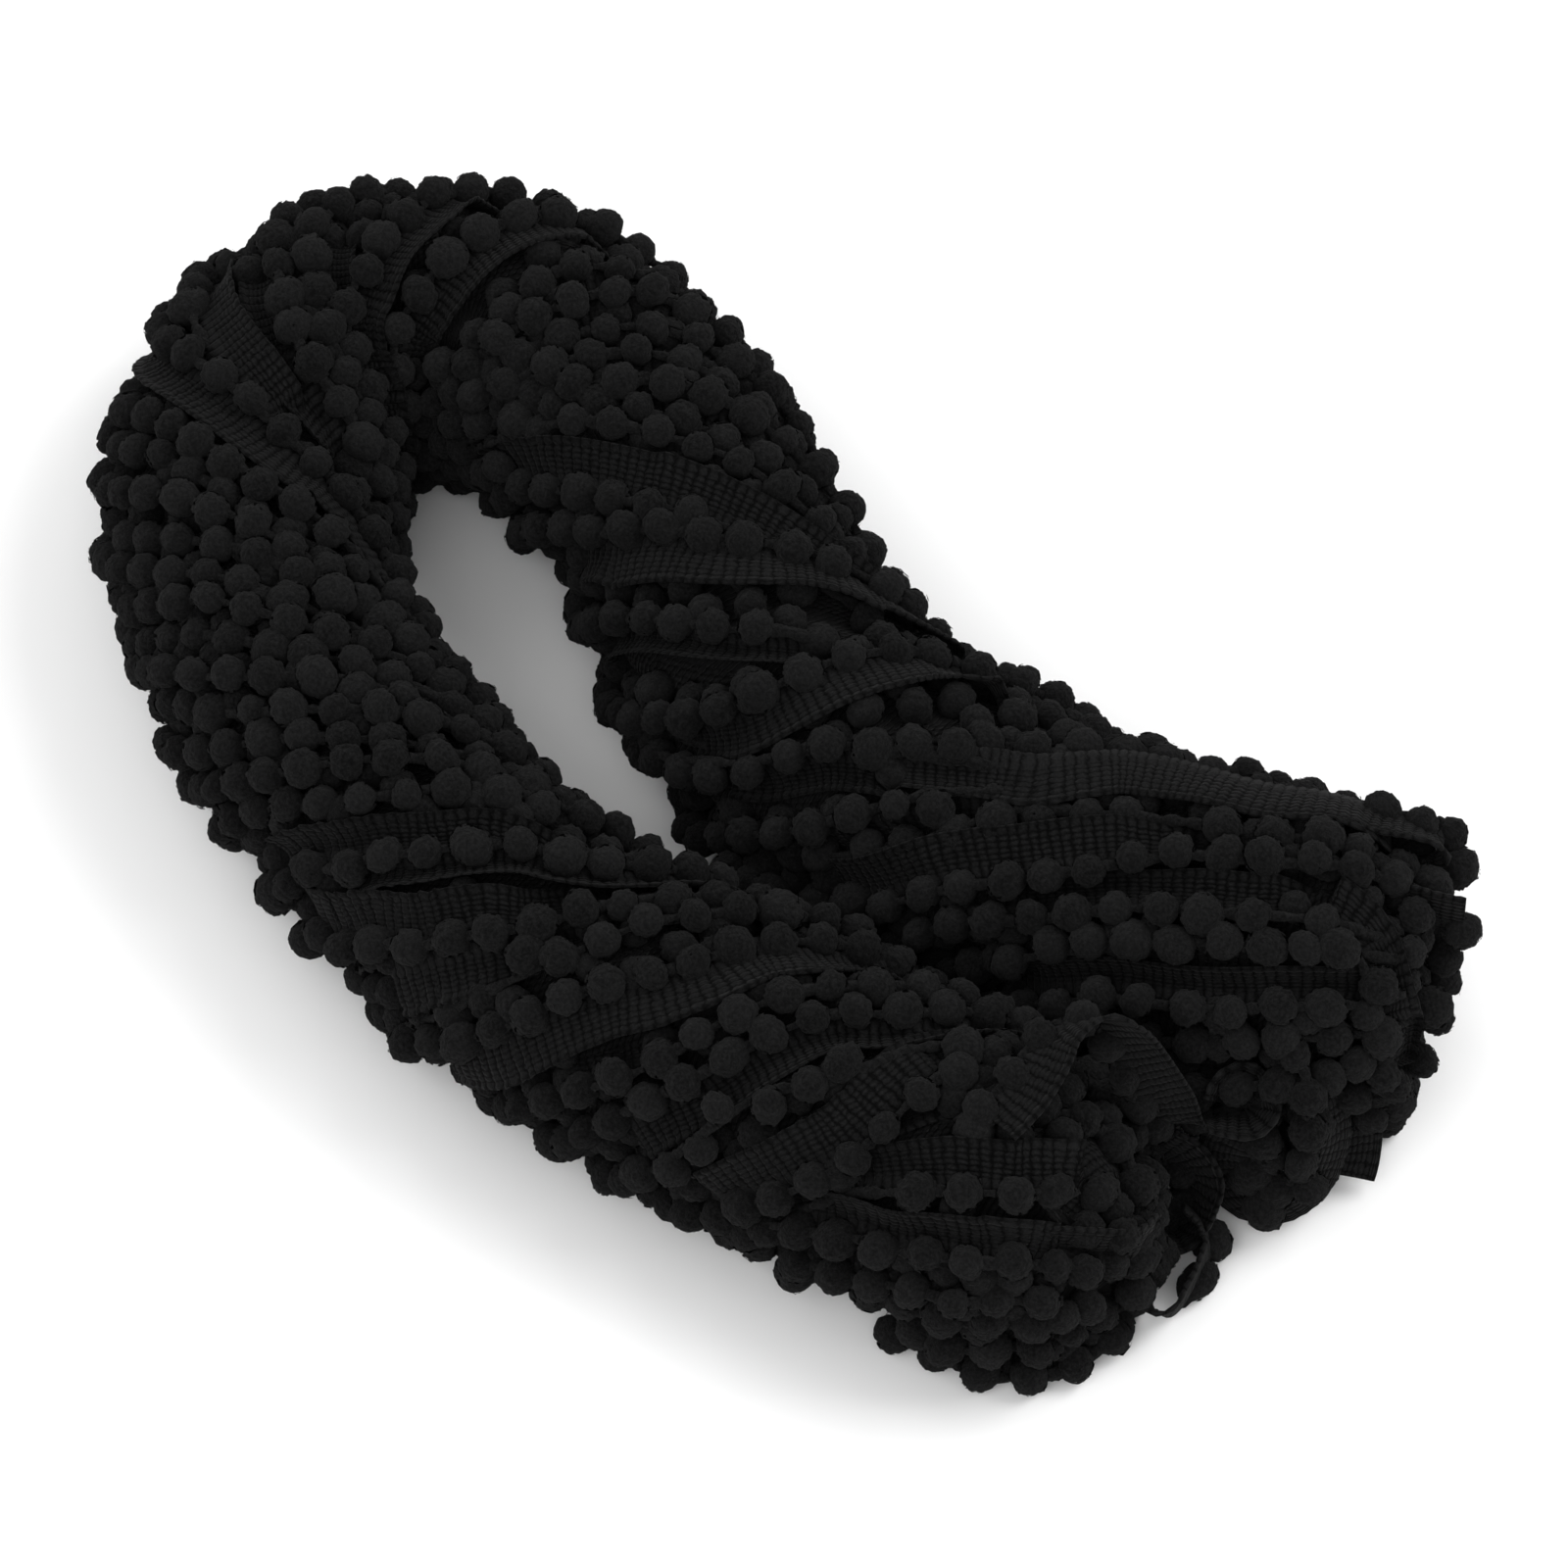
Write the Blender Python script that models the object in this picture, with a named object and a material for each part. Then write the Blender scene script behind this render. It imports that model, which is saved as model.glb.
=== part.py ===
"""Pompom fringe trim: one long length of woven tape with a row of pompoms along one edge,
wound into a skein, twisted left-handed like a rope and laid down in a hairpin.

The hank is one solid of its wound form with its main twists. The stretches of trim that
have slipped out of it at its two looped ends are thin strips, each with its own comb of
pompoms along one edge. +X runs along the hank from the bend to the looped ends, +Z is up,
z = 0 is the surface it lies on, and the origin is under the middle of the whole part.
"""
import math

import bmesh
import bpy
import numpy as np

MM = 0.001

# Driving dimensions, in millimetres. The thread runs on past the last pompom by a share of
# one pitch. A loose tape has a line of points at each tape step, and its pompom edge is
# measured in edge steps.
TAPE_WIDTH = 15.0
TAPE_THICKNESS = 1.4
POMPOM_DIAMETER = 10.0
POMPOM_PITCH = 12.4
THREAD_DIAMETER = 1.6
THREAD_SIDES = 6
THREAD_TAIL = 0.3
TAPE_STEP = 5.0
EDGE_STEP = 1.6
FIT_GAP = 0.3

# The hank: one turn of its twist, how many main twists lie round it, how deep the valleys
# between them are, how far its own weight presses it flat, and how its ends round off. Its
# surface has so many sides for each main twist and a ring of points at each station step.
# The angles are the turn at the start, in radians, and the sharpest smooth edge, in degrees.
TWIST_LEAD = 188.0
MAIN_TWISTS = 7
TWIST_DEPTH = 4.0
PRESS = 4.0
END_ROUND = 14.0
END_NARROW = 0.25
END_STEPS = 5
SIDES_PER_TWIST = 6
STATION_STEP = 13.0
TURN_AT_START = 0.4
SHARP_VALLEY = 40.0
SPAN_STEPS = 24

# The hank's way along the surface, from the looped end of the near leg round the bend to
# the looped end of the far leg. Columns: x, y, half width, height.
HANK_ROUTE = (
    (188, -33, 27, 62),
    (174, -34, 41, 77),
    (137, -40, 45, 83),
    (63, -62, 45, 82),
    (3, -76, 41, 80),
    (-71, -67, 40, 80),
    (-105, -54, 41, 80),
    (-140, -34, 42, 80),
    (-164, -6, 43, 80),
    (-169, 24, 42, 80),
    (-154, 50, 42, 80),
    (-128, 62, 42, 83),
    (-90, 61, 43, 82),
    (-47, 48, 42, 82),
    (0, 32, 44, 84),
    (46, 32, 44, 84),
    (92, 45, 47, 86),
    (138, 59, 50, 90),
    (166, 73, 48, 93),
    (185, 84, 36, 82),
)

# Stretches of trim that stand out of the looped ends. The pompoms counted are the ones that
# show, from the stretch's root. Columns of the rows: x, y, z of the middle of the tape, then
# the direction across the tape from its plain edge to its pompom edge.
LOOSE_TRIM = {
    # a cut end that arches over the top of the near leg's end, dips between the legs and
    # curls up at its tip
    "arch": {"pompoms": (2, 8), "rows": (
        (146, -40, 53, -0.90, -0.20, 0.37),
        (154, -31, 72, -0.90, -0.15, 0.35),
        (158, -18, 87, -0.90, 0.10, 0.20),
        (159, -1, 88, -0.85, 0.40, 0.10),
        (165, 9, 74, -0.55, 0.80, 0.15),
        (171, 13, 57, -0.30, 0.92, 0.15),
        (177, 16, 43, -0.20, 0.90, 0.00),
        (185, 20, 36, -0.30, 0.75, -0.40),
        (193, 26, 40, -0.40, 0.50, -0.70),
        (194, 31, 48, -0.42, 0.40, -0.80),
    )},
    # turns down out of the far leg's end to the surface
    "curl": {"pompoms": (1, 5), "rows": (
        (177, 66, 50, 0.30, -0.60, 0.70),
        (187, 53, 55, 0.20, -0.60, 0.75),
        (197, 45, 52, -0.10, -0.60, 0.70),
        (204, 41, 41, -0.35, -0.70, 0.50),
        (206, 36, 28, -0.50, -0.75, 0.35),
        (202, 29, 15, -0.65, -0.55, 0.45),
    )},
    # a cut end that hangs down the far leg's end
    "cut_end": {"pompoms": (3, 4), "rows": (
        (181, 70, 44, -0.35, -0.90, 0.00),
        (197, 62, 45, -0.40, -0.90, 0.00),
        (206, 57, 36, -0.45, -0.90, 0.00),
        (208, 55, 22, -0.45, -0.90, 0.00),
        (208, 53, 9, -0.45, -0.90, 0.00),
    )},
    # a slack loop lying on the surface beside the near leg's end
    "slack_loop": {"pompoms": (2, 4), "rows": (
        (171, -24, 18, -0.20, 0.10, -0.95),
        (185, -23, 14, -0.10, 0.20, -0.90),
        (195, -17, 13, 0.15, 0.50, -0.85),
        (198, -7, 13, 0.25, 0.45, -0.85),
        (194, 3, 13, 0.15, 0.50, -0.85),
        (184, 7, 14, 0.00, 0.40, -0.90),
        (173, 0, 17, -0.20, 0.30, -0.90),
        (169, -12, 20, -0.20, 0.30, -0.90),
    )},
}

COLOURS = {
    "hank": (0.010, 0.010, 0.011, 1.0),
    "tape": (0.013, 0.013, 0.014, 1.0),
    "pompoms": (0.008, 0.008, 0.009, 1.0),
}
FIBRE_ROUGHNESS = 0.95


def clear_scene():
    """Start from an empty file."""
    for thing in list(bpy.data.objects):
        bpy.data.objects.remove(thing, do_unlink=True)


def fibre_material(name, colour):
    """Dull dyed yarn."""
    material = bpy.data.materials.new(name)
    material.use_nodes = True
    shader = material.node_tree.nodes["Principled BSDF"]
    shader.inputs["Base Color"].default_value = colour
    shader.inputs["Roughness"].default_value = FIBRE_ROUGHNESS
    shader.inputs["Metallic"].default_value = 0.0
    return material


def smooth_route(rows, step):
    """Rows at even steps along a smooth curve through the given rows.

    Each span is a Catmull-Rom cubic: it passes through its two rows and leaves each in the
    direction of that row's two neighbours. Every column follows the same curve.
    """
    rows = np.array(rows, float)
    padded = np.vstack([2 * rows[0] - rows[1], rows, 2 * rows[-1] - rows[-2]])
    fine = []
    t = np.linspace(0.0, 1.0, SPAN_STEPS, endpoint=False)[:, None]
    for before, start, end, after in zip(padded, padded[1:], padded[2:], padded[3:]):
        fine.append(0.5 * (2 * start + (end - before) * t
                           + (2 * before - 5 * start + 4 * end - after) * t ** 2
                           + (3 * start - before - 3 * end + after) * t ** 3))
    fine = np.vstack(fine + [rows[-1:]])
    return even_steps(fine, step)


def even_steps(rows, step):
    """Resample rows of a curve so that they lie about one step apart."""
    axes = 2 if rows.shape[1] == 4 else 3
    along = np.r_[0, np.cumsum(np.linalg.norm(np.diff(rows[:, :axes], axis=0), axis=1))]
    count = max(3, round(along[-1] / step) + 1)
    places = np.linspace(0, along[-1], count)
    return np.stack([np.interp(places, along, column) for column in rows.T], axis=1)


def hank_rings(grow):
    """One ring of points for each station of the hank, its surface moved out by grow.

    A ring is an ellipse with one rounded lobe for each main twist, pressed flat on the
    surface. It turns backwards by one turn per lead, which makes the twist left-handed.
    """
    rows = smooth_route(HANK_ROUTE, STATION_STEP)
    heading = np.gradient(rows[:, :2], axis=0)
    heading /= np.linalg.norm(heading, axis=1)[:, None]
    along = np.r_[0, np.cumsum(np.linalg.norm(np.diff(rows[:, :2], axis=0), axis=1))]

    stations = []
    for place, (x, y, half_width, height), ahead in zip(along, rows, heading):
        stations.append((place, x, y, half_width, height, ahead, 1.0))
    for at_start in (True, False):
        place, x, y, half_width, height, ahead, _ = stations[0 if at_start else -1]
        way = -1.0 if at_start else 1.0
        for k in range(1, END_STEPS + 1):
            angle = math.pi / 2 * k / END_STEPS
            reach = (END_ROUND + grow) * math.sin(angle) * way
            narrow = END_NARROW + (1 - END_NARROW) * math.cos(angle)
            station = (place + reach, x + ahead[0] * reach, y + ahead[1] * reach,
                       half_width, height, ahead, narrow)
            stations.insert(0 if at_start else len(stations), station)

    spin = np.linspace(0, 2 * math.pi, MAIN_TWISTS * SIDES_PER_TWIST, endpoint=False)
    lobe = np.abs(np.sin(MAIN_TWISTS * spin / 2))
    rings = []
    for place, x, y, half_width, height, ahead, narrow in stations:
        angle = spin + TURN_AT_START - 2 * math.pi * place / TWIST_LEAD
        tall = (height + PRESS) / 2
        depth = TWIST_DEPTH * (1 - lobe)
        across = (half_width + grow - depth) * np.cos(angle) * narrow
        up = (tall + grow - depth) * np.sin(angle) * narrow + height - tall
        up = np.maximum(up, -grow)
        left = np.array((-ahead[1], ahead[0]))
        rings.append(np.stack([x + left[0] * across, y + left[1] * across, up], axis=1) * MM)
    return rings


def skin(name, rings):
    """A closed body: the first ring is extruded through the others and both ends filled."""
    body = bmesh.new()
    ring = [body.verts.new(point) for point in rings[0]]
    first = [body.edges.new((a, b)) for a, b in zip(ring, ring[1:] + ring[:1])]
    edges = first
    for points in rings[1:]:
        made = bmesh.ops.extrude_edge_only(body, edges=edges)["geom"]
        edges = [piece for piece in made if isinstance(piece, bmesh.types.BMEdge)]
        ring = ordered_copy(ring, made)
        for vert, point in zip(ring, points):
            vert.co = point
    bmesh.ops.contextual_create(body, geom=first)
    bmesh.ops.contextual_create(body, geom=edges)
    bmesh.ops.triangulate(body, faces=body.faces)
    bmesh.ops.recalc_face_normals(body, faces=body.faces)
    mesh = bpy.data.meshes.new(name)
    body.to_mesh(mesh)
    body.free()
    return mesh


def ordered_copy(ring, made):
    """The new ring's vertices in the order of the old ring they were extruded from."""
    fresh = {piece for piece in made if isinstance(piece, bmesh.types.BMVert)}
    return [next(edge.other_vert(vert) for edge in vert.link_edges
                 if edge.other_vert(vert) in fresh) for vert in ring]


def add_object(name, mesh, material):
    """Put a mesh into the scene with its own material."""
    thing = bpy.data.objects.new(name, mesh)
    bpy.context.scene.collection.objects.link(thing)
    if material is not None:
        mesh.materials.append(material)
    return thing


def add_guide(name, mesh):
    """A shape that only cuts or joins others."""
    guide = add_object(name, mesh, None)
    guide.hide_render = True
    guide.display_type = "WIRE"
    return guide


def combine(thing, guide, operation):
    """Cut a guide away from a piece, or join it on."""
    modifier = thing.modifiers.new(operation.title(), "BOOLEAN")
    modifier.operation = operation
    modifier.object = guide


def unit(vectors):
    return vectors / np.linalg.norm(vectors, axis=1)[:, None]


def trim_frame(rows, step):
    """Middle, heading and across direction at even steps along a loose stretch."""
    stations = smooth_route(rows, step)
    middle = stations[:, :3]
    ahead = unit(np.gradient(middle, axis=0))
    across = stations[:, 3:]
    across = unit(across - ahead * np.sum(across * ahead, axis=1)[:, None])
    return middle, ahead, across


def tape_mesh(name, rows):
    """The flat tape: three lines of points along the stretch, thickened afterwards."""
    middle, _, across = trim_frame(rows, TAPE_STEP)
    sides = (-TAPE_WIDTH / 2, 0.0, TAPE_WIDTH / 2)
    lines = [(middle + across * side) * MM for side in sides]
    verts = [tuple(point) for line in lines for point in line]
    count = len(middle)
    faces = [(lane * count + k, lane * count + k + 1,
              (lane + 1) * count + k + 1, (lane + 1) * count + k)
             for lane in range(len(sides) - 1) for k in range(count - 1)]
    mesh = bpy.data.meshes.new(name)
    mesh.from_pydata(verts, [], faces)
    return mesh


def pompom_edge(rows, beyond):
    """Points at even pompom pitches along the stretch's pompom edge, or a little beyond it."""
    middle, _, across = trim_frame(rows, EDGE_STEP)
    return even_steps(middle + across * (TAPE_WIDTH / 2 + beyond), POMPOM_PITCH)


def ball_mesh(name, stretch, grow):
    """A ball at each pompom's place along the stretch's pompom edge."""
    first, last = stretch["pompoms"]
    body = bmesh.new()
    for place in pompom_edge(stretch["rows"], 0.0)[first:last + 1]:
        made = bmesh.ops.create_icosphere(body, subdivisions=2,
                                          radius=(POMPOM_DIAMETER / 2 + grow) * MM)
        bmesh.ops.translate(body, verts=made["verts"], vec=place * MM)
    mesh = bpy.data.meshes.new(name)
    body.to_mesh(mesh)
    body.free()
    return mesh


def thread_mesh(name, stretch):
    """The thread that carries the pompoms from first to last, just outside the tape's edge."""
    first, last = stretch["pompoms"]
    middle, ahead, across = trim_frame(stretch["rows"], TAPE_STEP)
    offset = TAPE_WIDTH / 2 + FIT_GAP + THREAD_DIAMETER / 2
    line = middle + across * offset
    share = np.linspace(0, 1, len(line))
    count = len(pompom_edge(stretch["rows"], 0.0)) - 1
    carried = (share >= (first - THREAD_TAIL) / count) & (share <= (last + THREAD_TAIL) / count)
    face_way = np.cross(ahead, across)
    spin = np.linspace(0, 2 * math.pi, THREAD_SIDES, endpoint=False)
    rings = [(place + np.outer(np.cos(spin), side) * THREAD_DIAMETER / 2
              + np.outer(np.sin(spin), out) * THREAD_DIAMETER / 2) * MM
             for place, side, out in zip(line[carried], across[carried], face_way[carried])]
    return skin(name, rings)


def build_hank():
    """The wound and twisted skein."""
    hank = add_object("hank", skin("hank", hank_rings(0.0)),
                      fibre_material("hank_yarn", COLOURS["hank"]))
    hank.data.shade_smooth()
    hank.data.set_sharp_from_angle(angle=math.radians(SHARP_VALLEY))


def build_loose_trim():
    """The stretches of tape that have slipped out, each with its comb of pompoms."""
    hank_room = add_guide("hank_room", skin("hank_room", hank_rings(FIT_GAP)))
    for name, stretch in LOOSE_TRIM.items():
        tape = add_object(name + "_tape", tape_mesh(name + "_tape", stretch["rows"]),
                          fibre_material(name + "_tape_yarn", COLOURS["tape"]))
        thicken = tape.modifiers.new("Thickness", "SOLIDIFY")
        thicken.thickness = TAPE_THICKNESS * MM
        thicken.offset = 0.0
        combine(tape, add_guide(name + "_notches",
                                ball_mesh(name + "_notches", stretch, FIT_GAP)), "DIFFERENCE")
        combine(tape, hank_room, "DIFFERENCE")

        comb = add_object(name + "_pompoms", thread_mesh(name + "_pompoms", stretch),
                          fibre_material(name + "_pompom_yarn", COLOURS["pompoms"]))
        combine(comb, add_guide(name + "_balls",
                                ball_mesh(name + "_balls", stretch, 0.0)), "UNION")
        combine(comb, hank_room, "DIFFERENCE")


clear_scene()
build_hank()
build_loose_trim()
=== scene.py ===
"""Pompom fringe trim, one long length wound into a skein, twisted like a rope and laid down
in a hairpin. Lengths in the tables are millimetres, angles are degrees."""
import functools
import math

import bpy
import numpy as np
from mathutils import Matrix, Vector


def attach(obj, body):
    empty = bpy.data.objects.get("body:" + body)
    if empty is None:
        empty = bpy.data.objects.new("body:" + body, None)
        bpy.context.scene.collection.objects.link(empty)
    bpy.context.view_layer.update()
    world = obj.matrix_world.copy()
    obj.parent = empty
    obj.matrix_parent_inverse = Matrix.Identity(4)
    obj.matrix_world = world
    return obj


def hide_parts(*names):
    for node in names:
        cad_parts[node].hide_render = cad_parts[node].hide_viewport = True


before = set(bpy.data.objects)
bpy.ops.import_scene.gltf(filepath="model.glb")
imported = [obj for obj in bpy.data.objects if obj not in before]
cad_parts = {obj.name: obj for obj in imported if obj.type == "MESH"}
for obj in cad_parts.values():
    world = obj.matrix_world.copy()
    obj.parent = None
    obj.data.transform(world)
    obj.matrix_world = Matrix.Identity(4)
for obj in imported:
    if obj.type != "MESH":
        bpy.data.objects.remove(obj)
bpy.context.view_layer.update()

MM = 0.001


# The way the hank lies. It is a soft skein about 85 mm thick, which runs from the looped end
# of the near leg round the bend to the looped end of the far leg. A place on its surface is
# the length along it and the angle round it, from its left side up over its crown.
HANK_ROUTE = (          # x, y, half width, height
    (188, -33, 27, 62), (174, -34, 41, 77), (137, -40, 45, 83), (63, -62, 45, 82),
    (3, -76, 41, 80), (-71, -67, 40, 80), (-105, -54, 41, 80), (-140, -34, 42, 80),
    (-164, -6, 43, 80), (-169, 24, 42, 80), (-154, 50, 42, 80), (-128, 62, 42, 83),
    (-90, 61, 43, 82), (-47, 48, 42, 82), (0, 32, 44, 84), (46, 32, 44, 84),
    (92, 45, 47, 86), (138, 59, 50, 90), (166, 73, 48, 93), (185, 84, 36, 82),
)
ROUTE_STEP = 1.0
SPAN_STEPS = 24
PRESSED_FLAT = 4.0          # what the surface presses off its underside
END_ROUND = 14.0            # how far an end's rounding reaches out
END_NARROW = 0.25           # what is left of the section there
NEARBY = 0.5                # mm along and degrees round to each side of a point


def smooth_curve(rows, step):
    """Rows at even steps along a smooth curve through the given rows. Each span is a
    Catmull-Rom cubic, which leaves a row in the direction of that row's two neighbours. The
    length is measured on the first two of four columns or the first three of six."""
    rows = np.array(rows, float)
    padded = np.vstack([2 * rows[0] - rows[1], rows, 2 * rows[-1] - rows[-2]])
    t = np.linspace(0.0, 1.0, SPAN_STEPS, endpoint=False)[None, :, None]
    before, start, end, after = (padded[k:len(rows) - 1 + k, None] for k in range(4))
    fine = 0.5 * (2 * start + (end - before) * t
                  + (2 * before - 5 * start + 4 * end - after) * t ** 2
                  + (3 * start - before - 3 * end + after) * t ** 3)
    fine = np.vstack([fine.reshape(-1, rows.shape[1]), rows[-1:]])
    axes = 3 if rows.shape[1] == 6 else 2
    return even_rows(path_length(fine[:, :axes]), fine, step)


def path_length(points):
    """Length along a path at each of its points."""
    return np.r_[0, np.cumsum(np.linalg.norm(np.diff(points, axis=0), axis=1))]


def columns_at(places, along, table):
    """Each column of a table read at places along it."""
    return np.stack([np.interp(places, along, column) for column in table.T], axis=-1)


def even_rows(along, table, step, fewest=3):
    """A table's rows at even steps along it, both ends among them."""
    count = max(fewest, round(along[-1] / step) + 1)
    return columns_at(np.linspace(0, along[-1], count), along, table)


def unit(vectors):
    """Vectors of length one."""
    return vectors / np.linalg.norm(vectors, axis=-1, keepdims=True)


route = smooth_curve(HANK_ROUTE, ROUTE_STEP)
route_heading = unit(np.gradient(route[:, :2], axis=0))
route_along = path_length(route[:, :2])
HANK_LENGTH = route_along[-1]


def hank_point(along, turn, depth):
    """A point under the hank's skin for each length along, angle round and depth. The cross
    section is an ellipse less the depth, pressed flat underneath. Past either end it shrinks
    by the cosine of an angle whose sine carries it outwards, which rounds the end off."""
    over = np.where(along < 0, along, np.maximum(along - HANK_LENGTH, 0))
    swing = np.arcsin(np.clip(over / END_ROUND, -1, 1))
    narrow = END_NARROW + (1 - END_NARROW) * np.cos(swing)
    place = np.clip(along, 0, HANK_LENGTH)
    x, y, half_width, height = np.moveaxis(columns_at(place, route_along, route), -1, 0)
    ahead = unit(columns_at(place, route_along, route_heading))
    reach = (END_ROUND - depth) * np.sin(swing)
    angle = np.radians(turn)
    tall = (height + PRESSED_FLAT) / 2
    across = (half_width - depth) * np.cos(angle) * narrow
    up = (tall - depth) * np.sin(angle) * narrow + height - tall
    up = np.maximum(up, depth)
    return np.stack([x + ahead[..., 0] * reach - ahead[..., 1] * across,
                     y + ahead[..., 1] * reach + ahead[..., 0] * across, up], -1)


def hank_frame(along, turn, depth):
    """How a point of the skin moves for one mm along and for one degree round, from points
    to each side of it, and the direction straight out."""
    ds = (hank_point(along + NEARBY, turn, depth)
          - hank_point(along - NEARBY, turn, depth)) / (2 * NEARBY)
    dt = (hank_point(along, turn + NEARBY, depth)
          - hank_point(along, turn - NEARBY, depth)) / (2 * NEARBY)
    out = np.cross(dt, ds)
    return ds, dt, out / np.maximum(np.linalg.norm(out, axis=-1, keepdims=True), 1e-9)


def add_mesh(name, points, faces, material, tone=None):
    """A mesh object in the shared frame from points in mm, none below the surface, and an
    array of faces; tone is a shade from 0 to 1 for each point."""
    points[:, 2] = np.maximum(points[:, 2], 0.0)
    mesh = bpy.data.meshes.new(name)
    mesh.from_pydata(points * MM, (), faces, shade_flat=False)
    if tone is not None:
        shade = mesh.attributes.new("tone", "FLOAT", "POINT")
        shade.data.foreach_set("value", tone.astype(np.float32))
    mesh.validate()
    mesh.materials.append(material)
    thing = bpy.data.objects.new(name, mesh)
    bpy.context.scene.collection.objects.link(thing)
    return thing


# The rows. The strand goes round and round the hank, and each row of this table is one pass:
# the line of its pompoms as (along, turn) places, and the side on which its tape lies. A tape
# that shows lies on its neighbours; the others tuck down under the next row of pompoms.
ROW_STEP = 2.0
POMPOM_SINK = 3.4           # depth of a row's middles under the skin
TURNS_BETWEEN = 13          # passes from one to the same strand's next
BOTTOM_TURN = 270.0


def row(points, side=1, tape=None, sink=POMPOM_SINK, buried=None, plain_after=0, lift=0.0,
        gap=0.0, span=None):
    """One pass. tape holds (along, reach, plain edge's depth) for a tape that shows, whose
    pompom edge is lifted by lift and gap away from the pompoms' middles; buried is the range
    of turns where the pass dives under others, span the only turns where it is laid, and
    plain_after the number of even rows before the next."""
    return {"points": points, "side": side, "tape": tape, "sink": sink, "buried": buried,
            "plain_after": plain_after, "lift": lift, "gap": gap, "span": span}


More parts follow.
